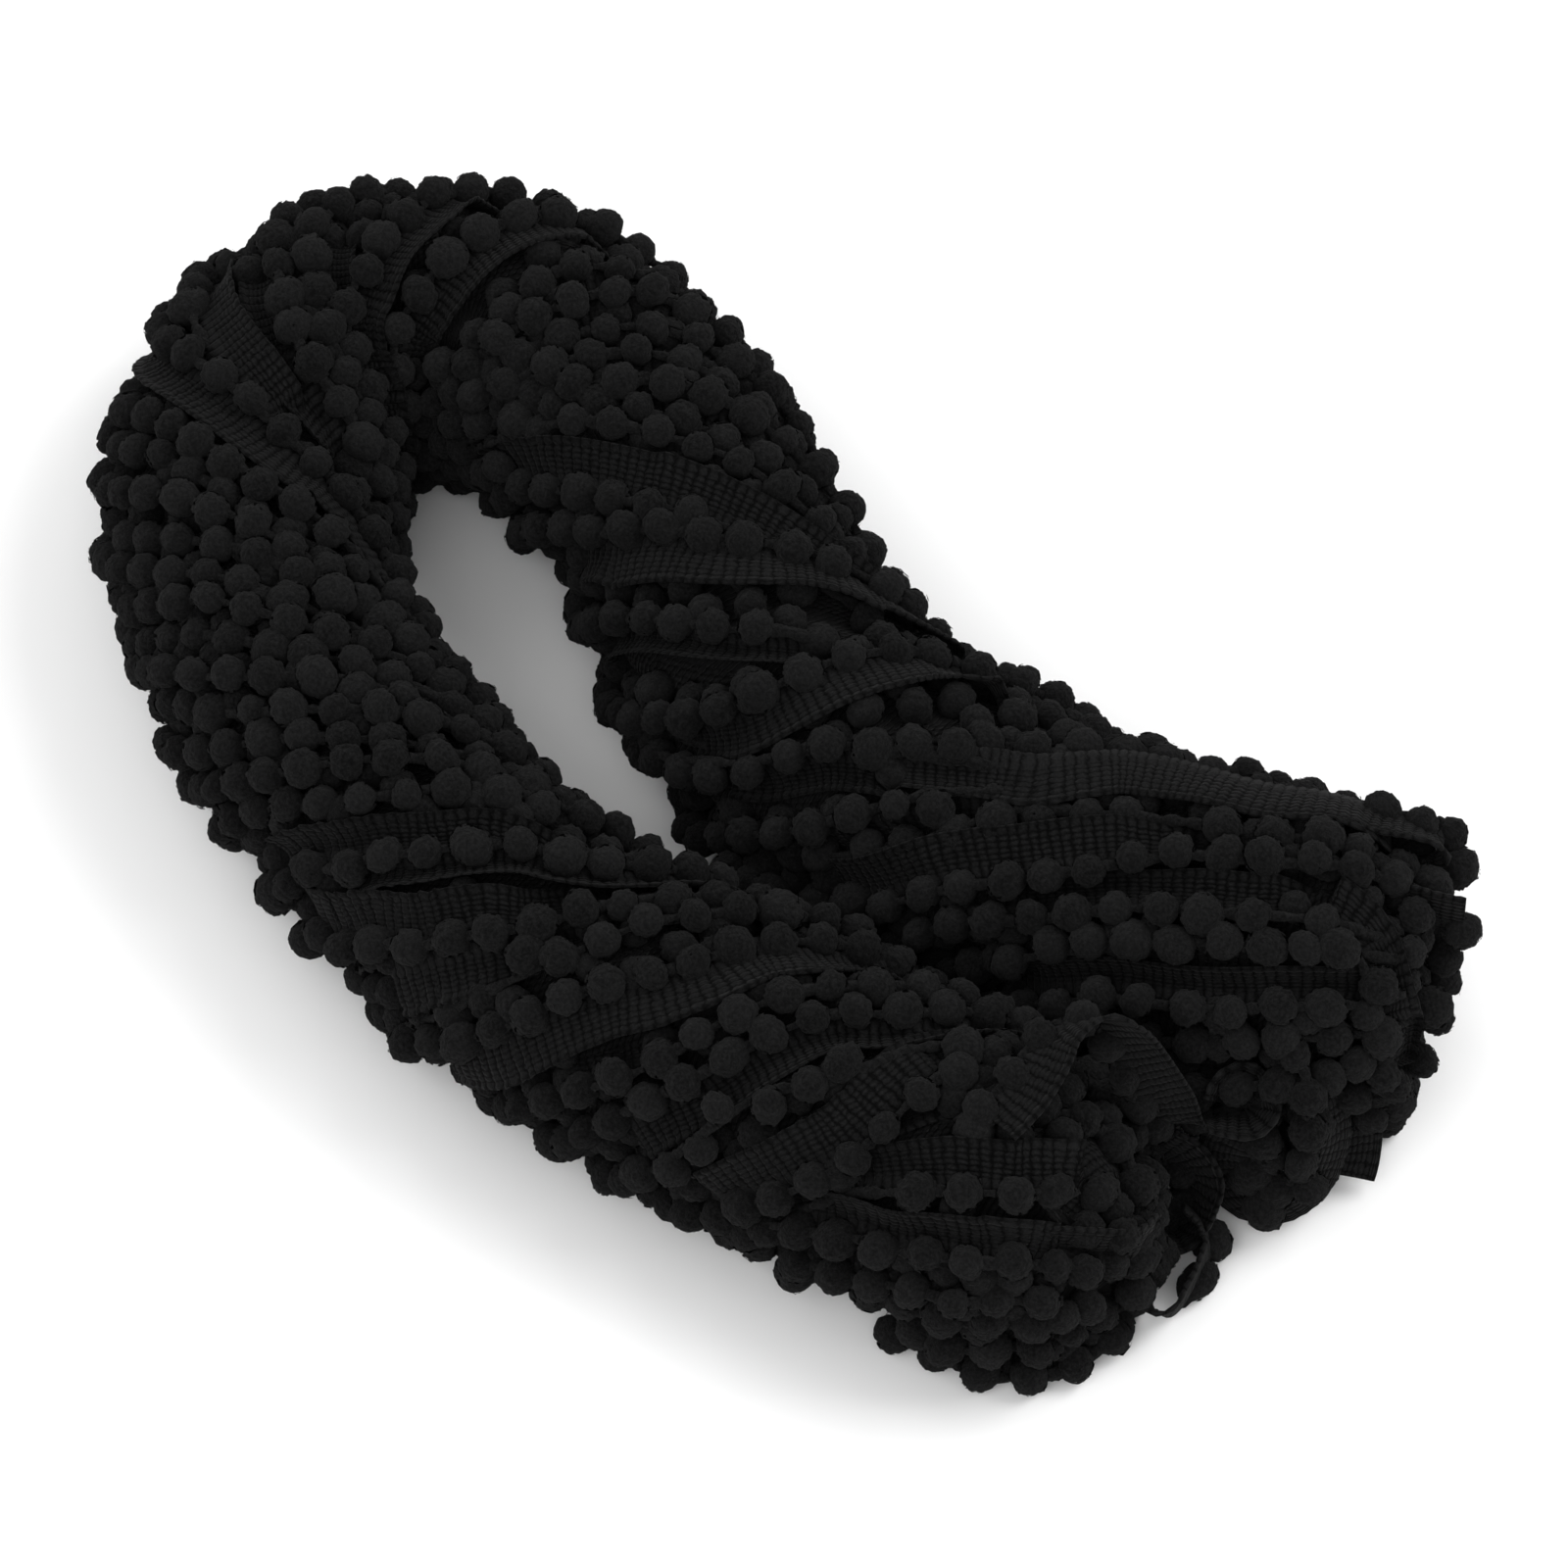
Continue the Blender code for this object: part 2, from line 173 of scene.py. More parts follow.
ROWS = [
    # outer side of the near leg's looped end, down to the surface
    row(((0, -10), (30, -28))),
    row(((0, 12), (20, -2), (45, -16))),
    row(((0, 30), (15, 18), (32, 8), (50, -2), (70, -14))),
    # two shown tapes that run out over the looped end
    row(((-6, 60), (2, 48), (14, 37), (26, 28), (37, 21), (51, 17), (64, 10), (80, 0)),
        1, ((0, 12.5, 1.5), (45, 12, 2.5), (70, 13, 8))),
    row(((2, 125), (4, 100), (9, 81), (15, 70), (23, 61), (33, 52), (45, 42), (60, 28)),
        1, ((0, 14, 2), (30, 14, 2), (50, 13, 8)), buried=(-10, 44), span=(-60, 91)),
    row(((15, 130), (25, 112), (33, 98), (40, 86)), 1, sink=7, buried=(0, 86)),
    # a broad tape from the crown down to the outer side
    row(((35, 150), (41, 128), (47, 105), (49, 92), (51, 82), (54, 65), (60, 47), (68, 34),
         (75, 23), (84, 10), (95, -10)),
        1, ((44, 12, 8), (50, 15, 2.5), (90, 15, 2.5))),
    row(((47, 120), (56, 103), (64, 90), (68, 80), (76, 67), (86, 58), (94, 45), (101, 30),
         (110, 10))),
    row(((45, 150), (60, 120), (72, 103), (85, 92), (94, 78), (102, 64), (109, 49),
         (118, 33), (124, 20), (134, 0)),
        -1, ((50, 11, 2), (90, 11, 4), (110, 14, 5), (124, 15, 3.5))),
    row(((72, 120), (82, 108), (95, 92), (105, 76), (113, 62), (120, 48), (130, 33),
         (141, 18), (150, 5))),
    row(((88, 150), (106, 120), (115, 107), (122, 90), (131, 76), (141, 65), (150, 53),
         (158, 40), (166, 25), (174, 12), (182, 0)),
        -1, ((90, 13, 6), (106, 15, 2), (165, 15, 1.5), (178, 15, 3))),
    row(((128, 112), (137, 100), (145, 88), (153, 73), (161, 58), (168, 42), (175, 25),
         (183, 5))),
    # four plies of tape, each over the edge of the next; two have their pompoms underneath
    row(((148, 105), (158, 88), (165, 76), (172, 65), (180, 52), (187, 38), (194, 20),
         (201, 0)),
        -1, ((166, 12, 6), (176, 14, 3.5), (194, 15, 3)), buried=(-400, 400)),
    row(((140, 110), (152, 95), (167, 71), (176, 61), (182, 51), (190, 38), (199, 27),
         (208, 11), (218, -2)),
        1, ((162, 12, 6), (174, 13, 3), (182, 14, 2), (214, 15, 2))),
    row(((140, 150), (150, 130), (163, 115), (174, 107), (185, 100), (194, 86), (201, 70),
         (209, 55), (216, 40), (223, 27), (232, 5)),
        -1, ((135, 13, 5), (150, 13, 0.5), (185, 11, 0.5), (200, 9, 1), (215, 8, 3))),
    row(((140, 152), (150, 132), (164, 117), (175, 109), (186, 101), (195, 87), (202, 71),
         (210, 56), (217, 41), (224, 28), (233, 6)),
        1, ((178, 9, 5), (190, 10.5, 2), (232, 11, 2)), buried=(-400, 400)),
    row(((185, 150), (196, 130), (204, 115), (212, 98), (218, 82), (228, 62), (236, 46),
         (244, 32), (251, 15)), plain_after=10),
    row(((262, 180), (274, 150), (300, 123), (315, 107), (329, 90), (342, 75), (352, 58),
         (360, 40), (370, 10))),
    # the tape that crosses the start of the bend
    row(((285, 175), (303, 150), (319, 138), (332, 125), (342, 110), (352, 95), (361, 80),
         (368, 66), (374, 52), (380, 38), (392, 10)),
        -1, ((300, 15, 1.5), (345, 14.5, 1), (362, 14, 1.5), (385, 13, 2), (395, 12, 3)), sink=4),
    row(((325, 150), (338, 122), (352, 100), (363, 82), (373, 66), (380, 54), (389, 38),
         (398, 20)),
        1, ((354, 14, 4), (364, 14.5, 1.5), (386, 14.5, 1.5), (393, 13, 4)), buried=(56, 400),
        sink=4),
    row(((350, 150), (366, 124), (376, 108), (388, 96), (397, 80), (404, 65), (411, 45)),
        -1, ((360, 12, 7), (400, 12, 6))),
    row(((360, 150), (382, 122), (400, 93), (408, 76), (416, 58)), 1,
        ((370, 13, 6), (410, 13, 6))),
    row(((372, 150), (386, 128), (400, 113), (413, 101), (423, 85), (432, 70), (440, 50)),
        1, ((350, 13, 1), (380, 12, 0.5), (400, 11, 0), (415, 12, 0), (440, 14, 0))),
    row(((405, 150), (420, 128), (433, 113), (441, 100), (449, 85), (456, 68), (463, 50)),
        1, ((415, 13, 8), (432, 14, 3), (465, 15, 2))),
    row(((440, 180), (458, 150), (467, 122), (471, 105), (473, 88), (479, 70), (488, 50)),
        plain_after=5),
    row(((478, 180), (499, 150), (520, 122), (531, 107), (542, 92), (549, 80), (561, 65),
         (580, 45), (600, 20))),
    # two shown tapes side by side on the far leg
    row(((503, 180), (527, 150), (549, 122), (570, 97), (583, 80), (597, 66), (611, 50)),
        -1, ((500, 14, 2), (525, 15, 1), (570, 14, 1), (612, 13, 1)), buried=(20, 94)),
    row(((532, 168), (543, 152), (552, 138), (560, 123), (568, 108), (575, 96), (582, 81),
         (588, 67), (597, 52), (607, 40), (620, 22)),
        1, ((545, 14, 3), (560, 15.5, 1.5), (625, 15, 1)), sink=2.5),
    row(((562, 180), (573, 160), (584, 139), (594, 123), (602, 110), (609, 97)),
        1, ((570, 9, 3), (600, 9, 3), (613, 9, 5)), buried=(30, 96)),
    # a slack tape whose edge curls back to the next one
    row(((586, 190), (600, 160), (610, 141), (617, 127), (621, 114), (624, 103), (627, 91),
         (632, 75), (638, 60), (648, 48), (662, 36), (676, 20)),
        1, ((600, 12, 8), (616, 14, 4), (622, 15, 2), (640, 15, 0), (655, 14, -1)), sink=3),
    # the broad tape that runs out along the crown of the far leg's end
    row(((600, 176), (622, 142), (636, 118), (647, 104), (658, 95), (670, 87), (680, 82),
         (688, 79), (697, 71), (707, 61), (718, 55), (730, 51), (743, 49), (759, 46),
         (774, 42), (785, 37), (796, 28)),
        1, ((655, 10, 5), (676, 13, 3.5), (690, 15, 2.5), (782, 15, 2)), sink=5.5,
        buried=(86, 400), lift=6.5, gap=5.0),
    row(((602, 180), (618, 155), (627, 143), (633, 131), (640, 119), (650, 110), (660, 103),
         (671, 98), (682, 92), (694, 85), (706, 77), (722, 69), (740, 61), (760, 53),
         (780, 42)),
        1, ((600, 12, 7), (650, 12, 7)), buried=(-400, 97)),
    row(((631, 172), (647, 149), (656, 134), (664, 122), (673, 111), (684, 103)),
        buried=(40, 103)),
    row(((640, 175), (655, 153), (670, 134), (686, 114), (696, 103), (709, 97), (726, 88),
         (746, 80), (760, 78), (777, 74), (794, 60)), sink=6),
    row(((655, 180), (668, 163), (684, 143), (695, 134), (706, 125), (717, 115), (729, 105),
         (738, 98), (748, 93), (761, 91), (776, 86), (793, 76)),
        -1, ((660, 14, 3), (680, 15, 1), (725, 14, 1.5), (745, 11, 8))),
    row(((672, 184), (685, 160), (697, 149), (708, 142), (719, 133), (732, 122), (743, 116),
         (755, 112), (770, 109), (786, 106), (800, 100)),
        -1, ((700, 13, 10), (738, 12, 7), (750, 12, 3), (766, 12, 3)), buried=(-400, 109.3)),
    # the same pass again where it curves down over the looped end
    row(((801, 165), (799, 150), (797, 136), (793, 122), (788, 112), (779, 108), (766, 107)),
        1, ((756, 13, 3), (775, 14, 2.5), (810, 14, 2)), span=(107.2, 168)),
    row(((690, 180), (708, 158), (720, 146), (731, 137), (742, 128), (753, 123), (768, 120),
         (784, 116), (800, 110))),
    row(((705, 190), (722, 168), (738, 153), (751, 147), (765, 142), (780, 138), (798, 131)),
        -1, ((720, 12, 7), (745, 11, 5), (800, 11, 5))),
    row(((720, 195), (738, 172), (755, 161), (770, 154), (795, 146))),
    row(((738, 200), (755, 180), (772, 170), (797, 160))),
    row(((755, 206), (772, 192), (797, 178))),
    row(((772, 214), (797, 198))),
]


def turns_to_along(rows_points, turns):
    """Length along for each turn on a smooth line through a row's places: Hermite cubics
    whose end slopes are the harmonic means of the slopes beside them, so that the line never
    doubles back."""
    places = np.array(rows_points, float)[::-1]
    along, turn = places.T
    width = np.diff(turn)
    slope = np.diff(along) / width
    inner = slope[:-1] * slope[1:]
    mean = np.where(inner > 0, 2 * inner / np.where(inner > 0, slope[:-1] + slope[1:], 1), 0)
    tangent = np.r_[slope[0], mean, slope[-1]]
    k = np.clip(np.searchsorted(turn, turns, side="right") - 1, 0, len(slope) - 1)
    t = (turns - turn[k]) / width[k]
    return ((1 + 2 * t) * (1 - t) ** 2 * along[k] + t * (1 - t) ** 2 * width[k] * tangent[k]
            + t * t * (3 - 2 * t) * along[k + 1] + t * t * (t - 1) * width[k] * tangent[k + 1])


PLAIN_TURNS = np.array([150.0, 125.0, 100.0, 75.0, 50.0, 25.0])
CROWN_TURN = np.array([90.0])
USUAL_SLOPE = 1.6           # degrees round for each mm along
FAR_TURNS = (400, -200)     # a row's line is run on this far round


def run_on(one, turns):
    """Length along for each turn of a row that runs on past its places at the usual slope."""
    first, last = one["points"][0], one["points"][-1]
    top, bottom = FAR_TURNS
    points = ((first[0] - (top - first[1]) / USUAL_SLOPE, top), *one["points"],
              (last[0] + (last[1] - bottom) / USUAL_SLOPE, bottom))
    return turns_to_along(points, turns)


def all_passes(rows):
    """The rows of the table with the plain ones between them, each run round to the
    underside, where it meets the pass that goes on from it."""
    passes = []
    for this, after in zip(rows, rows[1:] + rows[-1:]):
        passes.append(dict(this))
        for k in range(this["plain_after"]):
            share = (k + 1) / (this["plain_after"] + 1)
            along = (1 - share) * run_on(this, PLAIN_TURNS) + share * run_on(after, PLAIN_TURNS)
            passes.append(row(tuple(zip(along, PLAIN_TURNS))))
    crown = np.array([run_on(one, CROWN_TURN)[0] for one in passes])
    half_lead = 180 / USUAL_SLOPE
    start = crown - half_lead
    start[TURNS_BETWEEN:] = (crown[TURNS_BETWEEN:] + crown[:-TURNS_BETWEEN]) / 2
    end = crown + half_lead
    end[:-TURNS_BETWEEN] = start[TURNS_BETWEEN:]
    for one, first, last in zip(passes, start, end):
        one["points"] = ((first, BOTTOM_TURN), *one["points"], (last, BOTTOM_TURN - 360))
    return passes


END_REACH = 8.0             # how far past the looped ends a row of pompoms runs
WANDER = 0.9                # how far a row strays along the hank
WANDER_WAVE = 19.0          # degrees round for each radian of that wave
WANDER_PHASE = 1.7          # from one row's wave to the next's, so that neighbours differ
DEPTH_SWING = 1.7           # how far a row between others rises and sinks
DEPTH_WAVE = 42.0
DEPTH_PHASE = 2.4


def pass_line(one, number):
    """Along, turn, point, length and depth at even steps of a pass's pompom line, less what
    lies past the looped ends. Every row strays along in a slow sine of its turn, and one
    with no shown tape rises and sinks in another."""
    turns = np.linspace(BOTTOM_TURN, BOTTOM_TURN - 360, 361)
    along = turns_to_along(one["points"], turns)
    along = along + WANDER * np.sin(turns / WANDER_WAVE + WANDER_PHASE * number)
    kept = (along > -END_REACH) & (along < HANK_LENGTH + END_REACH)
    if one["span"]:
        kept &= (turns > one["span"][0]) & (turns < one["span"][1])
    along, turns = along[kept], turns[kept]
    if len(along) < 4:
        return None
    swing = 0.0 if one["tape"] else DEPTH_SWING
    depth = one["sink"] + swing * np.sin(turns / DEPTH_WAVE + DEPTH_PHASE * number)
    points = hank_point(along, turns, depth)
    length = path_length(points)
    table = np.column_stack([along, turns, points, length, depth])
    return even_rows(length, table, ROW_STEP, fewest=4)


passes = all_passes(ROWS)
for number, one in enumerate(passes):
    one["line"] = pass_line(one, number)
    one["number"] = number
passes = [one for one in passes if one["line"] is not None]


# How each pass's tape lies, read along the pass: how far across it reaches, how deep its
# plain edge lies and how flat it runs between.
TAPE_WIDTH = 15.0
TAPE_UNDER_POMPOM = 2.5
HIDDEN_REACH = 13.0         # how far across a tape that doesn't show reaches
HIDDEN_WELT = 11.0          # how deep its plain edge lies
BURIED_BASE = 9.5           # how deep a dive takes the pompom edge
BURIED_WELT = 12.0
SHOWN_FADE = 9.0            # mm along in which a shown tape turns into a hidden one
EDGE_WAVE = 0.5             # how far a shown plain edge lifts and dips
EDGE_WAVE_LONG = 6.3
HIDDEN_STEEP, SHOWN_STEEP = 2.6, 1.2
DIVE_TURNS = 12.0           # a dive under others takes this many degrees round
TAPE_END_REACH = 12.0       # how far past the looped ends a tape runs
ACROSS_MOST = 2.5           # along and round for each mm across, where the bend is tight


def dive_share(one, turn):
    """How far a pass has dived under others, from 0 to 1."""
    if not one["buried"]:
        return np.zeros(len(turn))
    low, high = one["buried"]
    return np.clip(np.minimum(turn - low, high - turn) / DIVE_TURNS, 0, 1)


def tape_lie(one, along, turn, depth):
    """Depth at the pompom edge, reach, depth at the plain edge, steepness and how much of
    the tape shows, at places of a pass."""
    shown = np.zeros(len(along))
    reach = np.full(len(along), HIDDEN_REACH)
    welt = np.full(len(along), HIDDEN_WELT)
    if one["tape"]:
        places, reaches, welts = np.array(one["tape"], float).T
        past = np.maximum(places[0] - along, along - places[-1])
        shown = np.clip(1 - past / SHOWN_FADE, 0, 1)
        reach += shown * (np.interp(along, places, reaches) - reach)
        welt += shown * (np.interp(along, places, welts) - welt)
        welt += shown * EDGE_WAVE * np.sin(along / EDGE_WAVE_LONG + one["number"])
    base = depth + TAPE_UNDER_POMPOM - one["lift"] * shown
    dive = dive_share(one, turn) * (1 - shown)
    base += dive * (BURIED_BASE - base)
    welt += dive * (BURIED_WELT - welt)
    steep = HIDDEN_STEEP + (SHOWN_STEEP - HIDDEN_STEEP) * shown
    return base, reach, welt, steep, shown


def tape_stations(one, step):
    """Even steps along a pass's tape, with the direction across it as changes of along and
    turn for each mm, and how the tape lies there."""
    line = even_rows(one["line"][:, 5], one["line"], step)
    along, turn, depth = line[:, 0], line[:, 1], line[:, 6]
    ahead = unit(np.gradient(line[:, 2:5], axis=0))
    ds, dt, out = hank_frame(along, turn, depth)
    across = unit(np.cross(ahead, out)) * one["side"]
    ss, st, tt = ((a * b).sum(1) for a, b in ((ds, ds), (ds, dt), (dt, dt)))
    sa, ta = (ds * across).sum(1), (dt * across).sum(1)
    solve = np.maximum(ss * tt - st * st, 1e-6)
    along_across = np.clip((tt * sa - st * ta) / solve, -ACROSS_MOST, ACROSS_MOST)
    turn_across = np.clip((ss * ta - st * sa) / solve, -ACROSS_MOST, ACROSS_MOST)
    return {"along": along, "turn": turn, "length": line[:, 5], "gap": one["gap"],
            "across": (along_across, turn_across), "lie": tape_lie(one, along, turn, depth)}


def tape_point(at, width, height):
    """A point of a pass's tape for each station and place across it, at a height above its
    middle. Its depth goes from the pompom edge's to the plain edge's as a power of the
    share left, and sags in between by what the tape is wider than its reach."""
    base, reach, welt, steep, _ = (c[:, None] for c in at["lie"])
    share = np.clip(width / TAPE_WIDTH, 0, 1)
    slack = np.sqrt(np.maximum(3 * reach * (TAPE_WIDTH - reach) / 8, 0))
    depth = welt + (base - welt) * (1 - share) ** steep + 4 * share * (1 - share) * slack
    out_by = width * reach / TAPE_WIDTH + at["gap"]
    along = at["along"][:, None] + at["across"][0][:, None] * out_by
    along = np.clip(along, -TAPE_END_REACH, HANK_LENGTH + TAPE_END_REACH)
    turn = at["turn"][:, None] + at["across"][1][:, None] * out_by
    return hank_point(along, turn, depth - height)


# The pompoms. Each is a ball of cut acrylic yarn 10 mm across, pressed a little out of
# round by its neighbours, and sewn to the tape's edge by its middle thread.
POMPOM_RADIUS = 5.0
POMPOM_SIZES = (0.99, 1.20)  # outside its nap, as a share of the radius
POMPOM_PITCH = 12.4
POMPOM_GAP = 8.7            # how close two pompoms' middles are pressed
POMPOM_STRAY = 0.45         # how far a pompom sits from its place
PITCH_SPREAD = 0.07
FIRST_SPREAD = 0.8          # where a row's first pompom may be, as a share of the pitch
LUMPS = 0.026
STRETCH = 0.08
TAPE_CLEAR = 5.6            # how close a pompom's middle comes to a tape that lies on top
TAPE_BURIES = 4.3           # a pompom left nearer to that tape than this is taken out
GUARD_STEP = 3.0
GUARD_WIDTHS = (4.0, 7.5, 11.0, 14.5)
GUARD_SHOWN = 0.9
GUARD_SEARCH = 2 * TAPE_CLEAR + 4
SETTLE_ROUNDS = 60
POMPOM_PUSH, TAPE_PUSH, PULL_BACK = 0.4, 0.3, 0.05      # shares made up in one round
HOLD_ON_TOP, HOLD_BETWEEN = 1.0, 0.5    # how firmly a pompom keeps its place
MOST_MOVE = 1.0             # in one round
MOST_PROUD = 0.3            # how far one may rise above its place
rng = np.random.default_rng(23)


def near_pairs(points, others, within):
    """Index pairs of points of two sets that lie nearer than a distance."""
    squares = ((points ** 2).sum(1)[:, None] + (others ** 2).sum(1)[None]
               - 2 * points @ others.T)
    return np.nonzero(squares < within ** 2)


def settle(targets, outward, guards, own, guard_own, hold):
    """Pompom middles pushed apart until few press into each other or into a tape on top.
    Each round moves pairs that are too close apart along the line between them, then draws
    every pompom back towards its place and keeps it from standing proud."""
    points = targets.copy()
    a, b = near_pairs(targets, targets, 2 * POMPOM_GAP)
    a, b = a[a < b], b[a < b]
    c, g = near_pairs(targets, guards, GUARD_SEARCH)
    other = own[c] != guard_own[g]
    c, g = c[other], g[other]
    for _ in range(SETTLE_ROUNDS):
        gap = points[b] - points[a]
        dist = np.linalg.norm(gap, axis=1, keepdims=True) + 1e-6
        push = gap / dist * np.maximum(POMPOM_GAP - dist, 0) * POMPOM_PUSH
        move = np.zeros_like(points)
        np.add.at(move, a, -push * (2 * hold[b] / (hold[a] + hold[b]))[:, None])
        np.add.at(move, b, push * (2 * hold[a] / (hold[a] + hold[b]))[:, None])
        gap = points[c] - guards[g]
        dist = np.linalg.norm(gap, axis=1, keepdims=True) + 1e-6
        np.add.at(move, c, gap / dist * np.maximum(TAPE_CLEAR - dist, 0) * TAPE_PUSH)
        points += np.clip(move, -MOST_MOVE, MOST_MOVE)
        points += (PULL_BACK * hold)[:, None] * (targets - points)
        rise = ((points - targets) * outward).sum(1)
        points -= outward * np.maximum(rise - MOST_PROUD, 0)[:, None]
        points[:, 2] = np.maximum(points[:, 2], POMPOM_RADIUS)
    return points


def guard_points(number, one):
    """Points of the part of a pass's tape that lies on top, which pompoms keep clear of."""
    at = tape_stations(one, GUARD_STEP)
    points = tape_point(at, np.array([GUARD_WIDTHS]), 0.0)
    points = points[at["lie"][4] > GUARD_SHOWN].reshape(-1, 3)
    return points, np.full(len(points), number)


def pompom_places():
    """Middles of all the hank's pompoms, with the number of the pass that each is on."""
    found = []
    for number, one in enumerate(passes):
        line = one["line"]
        steps = POMPOM_PITCH * rng.uniform(1 - PITCH_SPREAD, 1 + PITCH_SPREAD,
                                           math.ceil(line[-1, 5] / POMPOM_PITCH))
        places = np.cumsum(steps) - rng.uniform(0.0, FIRST_SPREAD) * POMPOM_PITCH
        places = places[(places > 0) & (places < line[-1, 5])]
        at = columns_at(places, line[:, 5], line)
        out = hank_frame(at[:, 0], at[:, 1], at[:, 6])[2]
        at[:, 2:5] += rng.normal(0, POMPOM_STRAY, (len(at), 3))
        keep = np.ones(len(at), bool)
        if one["buried"]:
            keep = (at[:, 1] < one["buried"][0]) | (at[:, 1] > one["buried"][1])
        ids = np.full(len(at), number)
        found.append(np.column_stack([at[:, 2:5], out, ids, at[:, 0]])[keep])
    return np.vstack(found)


planned = pompom_places()
guards, guard_own = (np.concatenate(part) for part in zip(
    *(guard_points(number, one) for number, one in enumerate(passes) if one["tape"])))
own = planned[:, 6].astype(int)
hold = np.array([HOLD_ON_TOP if one["tape"] else HOLD_BETWEEN for one in passes])
middles = settle(planned[:, :3], planned[:, 3:6], guards, own, guard_own, hold[own])
c, g = near_pairs(middles, guards, TAPE_BURIES)
buried = np.zeros(len(middles), bool)
buried[c[own[c] != guard_own[g]]] = True


def ball(sides):
    """A unit ball of six patches of sides by sides faces: a cube's grid points, evened by a
    tangent, pushed out to the same distance from the middle."""
    steps = np.tan(np.linspace(-1, 1, sides + 1) * math.pi / 4)
    u, v = np.meshgrid(steps, steps, indexing="ij")
    one = np.ones_like(u)
    patches = [np.stack(p, -1).reshape(-1, 3) for p in
               ((one, u, v), (-one, v, u), (v, one, u), (u, -one, v), (u, v, one), (v, u, -one))]
    i, j = np.meshgrid(np.arange(sides), np.arange(sides), indexing="ij")
    corner = (i * (sides + 1) + j).ravel()
    quad = np.stack([corner, corner + sides + 1, corner + sides + 2, corner + 1], 1)
    faces = np.vstack([quad + k * (sides + 1) ** 2 for k in range(6)])
    points = np.vstack(patches)
    _, first, same = np.unique(np.round(points * 1000).astype(int), axis=0,
                               return_index=True, return_inverse=True)
    return unit(points[first]), same.ravel()[faces]


BALL_POINTS, BALL_FACES = ball(3)


def random_turns(count):
    """Rotation matrices for random turns: unit quaternions written out."""
    w, x, y, z = unit(rng.normal(size=(count, 4))).T
    return np.stack([1 - 2 * (y * y + z * z), 2 * (x * y - z * w), 2 * (x * z + y * w),
                     2 * (x * y + z * w), 1 - 2 * (x * x + z * z), 2 * (y * z - x * w),
                     2 * (x * z - y * w), 2 * (y * z + x * w), 1 - 2 * (x * x + y * y)],
                    -1).reshape(-1, 3, 3)


def pompom_mesh(name, centres):
    """Many pompoms as one mesh: at each middle the ball, turned, lumped and stretched at
    random."""
    count = len(centres)
    size = POMPOM_RADIUS * rng.uniform(*POMPOM_SIZES, (count, 1, 1))
    lumps = 1 + rng.normal(0, LUMPS, (count, len(BALL_POINTS), 1))
    stretch = 1 + rng.normal(0, STRETCH, (count, 1, 3))
    points = np.einsum("nij,kj->nki", random_turns(count), BALL_POINTS)
    points = points * size * lumps * stretch + centres[:, None]
    faces = BALL_FACES[None] + (np.arange(count) * len(BALL_POINTS))[:, None, None]
    tone = np.repeat(rng.uniform(0, 1, count), len(BALL_POINTS))
    return add_mesh(name, points.reshape(-1, 3), faces.reshape(-1, 4), POMPOM_FELT, tone)


def fill(tree, made, values):
    """Lead sockets, or write numbers and colours, into a node's numbered or named inputs."""
    for key, value in dict(values).items():
        if isinstance(value, bpy.types.NodeSocket):
            tree.links.new(value, made.inputs[key])
        else:
            made.inputs[key].default_value = value


def node(tree, kind, values=(), **settings):
    """A node with its settings and its inputs filled."""
    made = tree.nodes.new(kind)
    for key, value in settings.items():
        setattr(made, key, value)
    fill(tree, made, values)
    return made


def math_node(tree, operation, *values):
    """The result of a math node on sockets or numbers."""
    made = node(tree, "ShaderNodeMath", enumerate(values), operation=operation)
    return made.outputs[0]


def new_material(name):
    """A material, its node tree and its shader."""
    material = bpy.data.materials.new(name)
    material.use_nodes = True
    return material, material.node_tree, material.node_tree.nodes["Principled BSDF"]


TUFT_SCALE, PATCH_SCALE = 430.0, 120.0
# The last share follows the tone put in: a random tone on the pompoms, painted shade from the
# weave's relief on the braid.
GRAIN, PATCHES, TONE_AND_SHADE_SHARE = 0.6, 0.3, 0.25   # shares of the light dye
TUFT_HEIGHT = 1.6


def dyed_fibre_group():
    """Colour and height of a nap of fine black-dyed fibre: small grains on soft tufts, in
    slow lighter and darker patches, and darker where the tone put in is low: a random tone
    on the pompoms, painted shade from the weave's relief on the braid."""
    group = bpy.data.node_groups.new("dyed fibre", "ShaderNodeTree")
    for way, kind, name in (("INPUT", "Color", "Dark"), ("INPUT", "Color", "Light"),
                            ("INPUT", "Float", "Grain scale"), ("INPUT", "Float", "Tone and painted shade"),
                            ("OUTPUT", "Color", "Color"), ("OUTPUT", "Float", "Height")):
        group.interface.new_socket(name=name, in_out=way, socket_type="NodeSocket" + kind)
    into = node(group, "NodeGroupInput").outputs
    where = node(group, "ShaderNodeTexCoord").outputs["Object"]
    grain, tuft, patch = (
        node(group, "ShaderNodeTexNoise", {"Vector": where, **noise}).outputs["Fac"]
        for noise in ({"Scale": into["Grain scale"], "Detail": 4.0, "Roughness": 0.7},
                      {"Scale": TUFT_SCALE, "Detail": 2.0}, {"Scale": PATCH_SCALE, "Detail": 2.0}))
    spread = node(group, "ShaderNodeMapRange",
                  {"Value": grain, "From Min": 0.40, "From Max": 0.66}).outputs[0]
    maths = functools.partial(math_node, group)
    share = maths("ADD", maths("MULTIPLY", spread, GRAIN), maths("MULTIPLY", patch, PATCHES))
    share = maths("ADD", share, maths("MULTIPLY", into["Tone and painted shade"], TONE_AND_SHADE_SHARE))
    mix = node(group, "ShaderNodeMix", {"Factor": share, "A": into["Dark"], "B": into["Light"]},
               data_type="RGBA")
    high = maths("ADD", grain, maths("MULTIPLY", tuft, TUFT_HEIGHT))
    node(group, "NodeGroupOutput", {"Color": mix.outputs["Result"], "Height": high})
    return group


